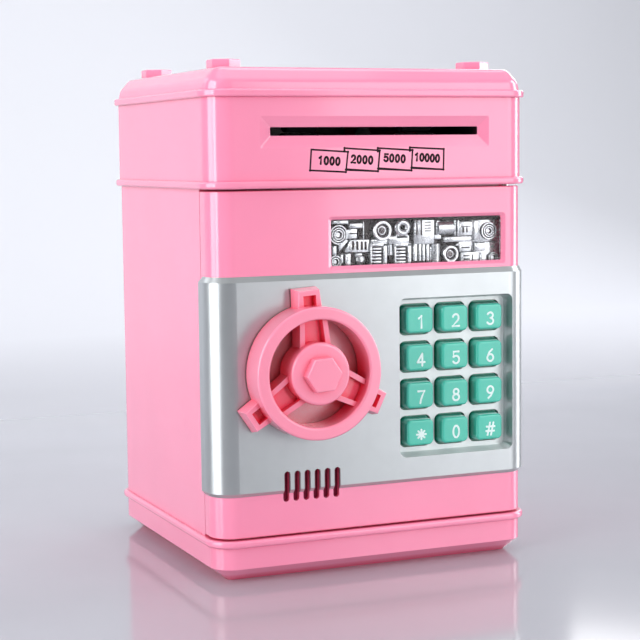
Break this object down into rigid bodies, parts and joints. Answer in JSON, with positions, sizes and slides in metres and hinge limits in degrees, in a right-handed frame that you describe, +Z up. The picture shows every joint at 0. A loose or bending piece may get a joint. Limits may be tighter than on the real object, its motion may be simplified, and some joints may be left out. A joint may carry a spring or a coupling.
{
  "type": "toy safe coin bank",
  "caption": "Toy safe savings box with a hinged keypad door, handwheel latch, display window, bill slot with feed rollers and a coin slot in the roof.",
  "frame": {"origin": "centre of the base's underside, on the surface it stands on", "axes": "+Z up, +Y to the back, the door and keypad face -Y, +X to the right seen from the front"},
  "size_m": [0.1338, 0.1386, 0.1923],
  "materials": {
    "pink_shell": "glossy moulded pink plastic",
    "silver_panel": "satin silver lacquer on moulded plastic",
    "pink_wheel": "glossy moulded pink plastic",
    "key_teal": "glossy teal-green plastic with white legends",
    "membrane": "matt silicone sheet",
    "circuit_board": "green circuit board",
    "clear_window": "clear plastic pane",
    "relief_dark": "black moulded backing",
    "relief_chrome": "vacuum-metallised plastic relief",
    "relief_gloss": "gloss black domes",
    "inner_plastic": "satin white plastic",
    "nylon_white": "natural nylon",
    "steel_zinc": "zinc-plated steel",
    "steel_can": "drawn steel can",
    "roller_rubber": "matt black rubber",
    "speaker_black": "black basket and paper cone",
    "sensor_black": "black sensor housing",
    "cell_sleeve": "plain dark cell sleeve",
    "contact_nickel": "nickel-plated spring steel",
    "lead_insulation": "insulated wire"
  },
  "bodies": {
    "case": {"base_tray": "pink_shell", "battery_cover": "pink_shell", "cover_screw": "steel_zinc", "battery_cells": "cell_sleeve", "battery_contacts": "contact_nickel", "chamber_floor": "inner_plastic", "main_shell": "pink_shell", "case_screws": "steel_zinc", "hinge_pins": "steel_zinc", "strike_plate": "steel_zinc", "upper_housing": "pink_shell", "roof_cover": "pink_shell", "coin_chute": "inner_plastic", "feeder_frame": "inner_plastic", "feed_motor": "steel_can", "slot_sensor": "sensor_black", "main_board": "circuit_board", "battery_leads": "lead_insulation"},
    "door": {"door_shell": "pink_shell", "door_panel": "silver_panel", "door_inner_cover": "inner_plastic", "door_screws": "steel_zinc", "keypad_mat": "membrane", "keypad_board": "circuit_board", "window_lens": "clear_window", "relief_backing": "relief_dark", "mechanism_relief": "relief_chrome", "relief_eyes": "relief_gloss", "speaker": "speaker_black", "latch_guide": "inner_plastic", "lock_solenoid": "steel_can", "wheel_bush": "nylon_white"},
    "wheel": {"handwheel": "pink_wheel", "hub_cap": "pink_wheel", "wheel_screw": "steel_zinc", "wheel_shaft": "steel_zinc", "shaft_clip": "steel_zinc", "latch_pinion": "nylon_white"},
    "bolt": {"latch_bolt": "steel_zinc"},
    "plunger": {"lock_plunger": "steel_zinc"},
    "feed_roller": {"feed_shaft": "steel_zinc", "feed_tyres": "roller_rubber", "feed_gear": "nylon_white"},
    "idler": {"idler_gear": "nylon_white"},
    "motor_rotor": {"motor_pinion": "nylon_white"},
    "pinch_roller": {"pinch_shaft": "steel_zinc", "pinch_rollers": "roller_rubber"},
    "key_1_cap": {"key_1": "key_teal"},
    "key_2_cap": {"key_2": "key_teal"},
    "key_3_cap": {"key_3": "key_teal"},
    "key_4_cap": {"key_4": "key_teal"},
    "key_5_cap": {"key_5": "key_teal"},
    "key_6_cap": {"key_6": "key_teal"},
    "key_7_cap": {"key_7": "key_teal"},
    "key_8_cap": {"key_8": "key_teal"},
    "key_9_cap": {"key_9": "key_teal"},
    "key_star_cap": {"key_star": "key_teal"},
    "key_0_cap": {"key_0": "key_teal"},
    "key_hash_cap": {"key_hash": "key_teal"}
  },
  "joints": [
    {"name": "door_hinge", "type": "hinge", "parent": "case", "child": "door", "pos_m": [0.0627, -0.0465, 0.0803], "axis": [0, 0, 1], "range_deg": [0, 95]},
    {"name": "wheel_turn", "type": "hinge", "parent": "door", "child": "wheel", "pos_m": [-0.0284, -0.06, 0.0775], "axis": [0, 1, 0], "range_deg": [-90, 0]},
    {"name": "bolt_slide", "type": "slide", "parent": "door", "child": "bolt", "axis": [-1, 0, 0], "range_m": [0, 0.0063]},
    {"name": "plunger_slide", "type": "slide", "parent": "door", "child": "plunger", "axis": [0, 0, -1], "range_m": [0, 0.003], "stiffness_N_per_m": 40, "springref_m": -0.002},
    {"name": "feed_spin", "type": "hinge", "parent": "case", "child": "feed_roller", "pos_m": [0, -0.044, 0.16], "axis": [1, 0, 0], "continuous": true},
    {"name": "idler_spin", "type": "hinge", "parent": "case", "child": "idler", "pos_m": [0.049, -0.0264, 0.16], "axis": [1, 0, 0], "continuous": true},
    {"name": "motor_spin", "type": "hinge", "parent": "case", "child": "motor_rotor", "pos_m": [0.049, -0.0144, 0.16], "axis": [1, 0, 0], "continuous": true},
    {"name": "pinch_spin", "type": "hinge", "parent": "case", "child": "pinch_roller", "pos_m": [0, -0.044, 0.1694], "axis": [1, 0, 0], "continuous": true},
    {"name": "key_1_press", "type": "slide", "parent": "door", "child": "key_1_cap", "axis": [0, 1, 0], "range_m": [0, 0.0012], "stiffness_N_per_m": 350, "springref_m": -0.0005},
    {"name": "key_2_press", "type": "slide", "parent": "door", "child": "key_2_cap", "axis": [0, 1, 0], "range_m": [0, 0.0012], "stiffness_N_per_m": 350, "springref_m": -0.0005},
    {"name": "key_3_press", "type": "slide", "parent": "door", "child": "key_3_cap", "axis": [0, 1, 0], "range_m": [0, 0.0012], "stiffness_N_per_m": 350, "springref_m": -0.0005},
    {"name": "key_4_press", "type": "slide", "parent": "door", "child": "key_4_cap", "axis": [0, 1, 0], "range_m": [0, 0.0012], "stiffness_N_per_m": 350, "springref_m": -0.0005},
    {"name": "key_5_press", "type": "slide", "parent": "door", "child": "key_5_cap", "axis": [0, 1, 0], "range_m": [0, 0.0012], "stiffness_N_per_m": 350, "springref_m": -0.0005},
    {"name": "key_6_press", "type": "slide", "parent": "door", "child": "key_6_cap", "axis": [0, 1, 0], "range_m": [0, 0.0012], "stiffness_N_per_m": 350, "springref_m": -0.0005},
    {"name": "key_7_press", "type": "slide", "parent": "door", "child": "key_7_cap", "axis": [0, 1, 0], "range_m": [0, 0.0012], "stiffness_N_per_m": 350, "springref_m": -0.0005},
    {"name": "key_8_press", "type": "slide", "parent": "door", "child": "key_8_cap", "axis": [0, 1, 0], "range_m": [0, 0.0012], "stiffness_N_per_m": 350, "springref_m": -0.0005},
    {"name": "key_9_press", "type": "slide", "parent": "door", "child": "key_9_cap", "axis": [0, 1, 0], "range_m": [0, 0.0012], "stiffness_N_per_m": 350, "springref_m": -0.0005},
    {"name": "key_star_press", "type": "slide", "parent": "door", "child": "key_star_cap", "axis": [0, 1, 0], "range_m": [0, 0.0012], "stiffness_N_per_m": 350, "springref_m": -0.0005},
    {"name": "key_0_press", "type": "slide", "parent": "door", "child": "key_0_cap", "axis": [0, 1, 0], "range_m": [0, 0.0012], "stiffness_N_per_m": 350, "springref_m": -0.0005},
    {"name": "key_hash_press", "type": "slide", "parent": "door", "child": "key_hash_cap", "axis": [0, 1, 0], "range_m": [0, 0.0012], "stiffness_N_per_m": 350, "springref_m": -0.0005}
  ],
  "couplings": [
    {"joint": "bolt_slide", "follows": "wheel_turn", "m_per_rad": -0.004},
    {"joint": "idler_spin", "follows": "feed_spin", "ratio": -1.2},
    {"joint": "motor_spin", "follows": "feed_spin", "ratio": 2.4},
    {"joint": "pinch_spin", "follows": "feed_spin", "ratio": -1.25}
  ]
}
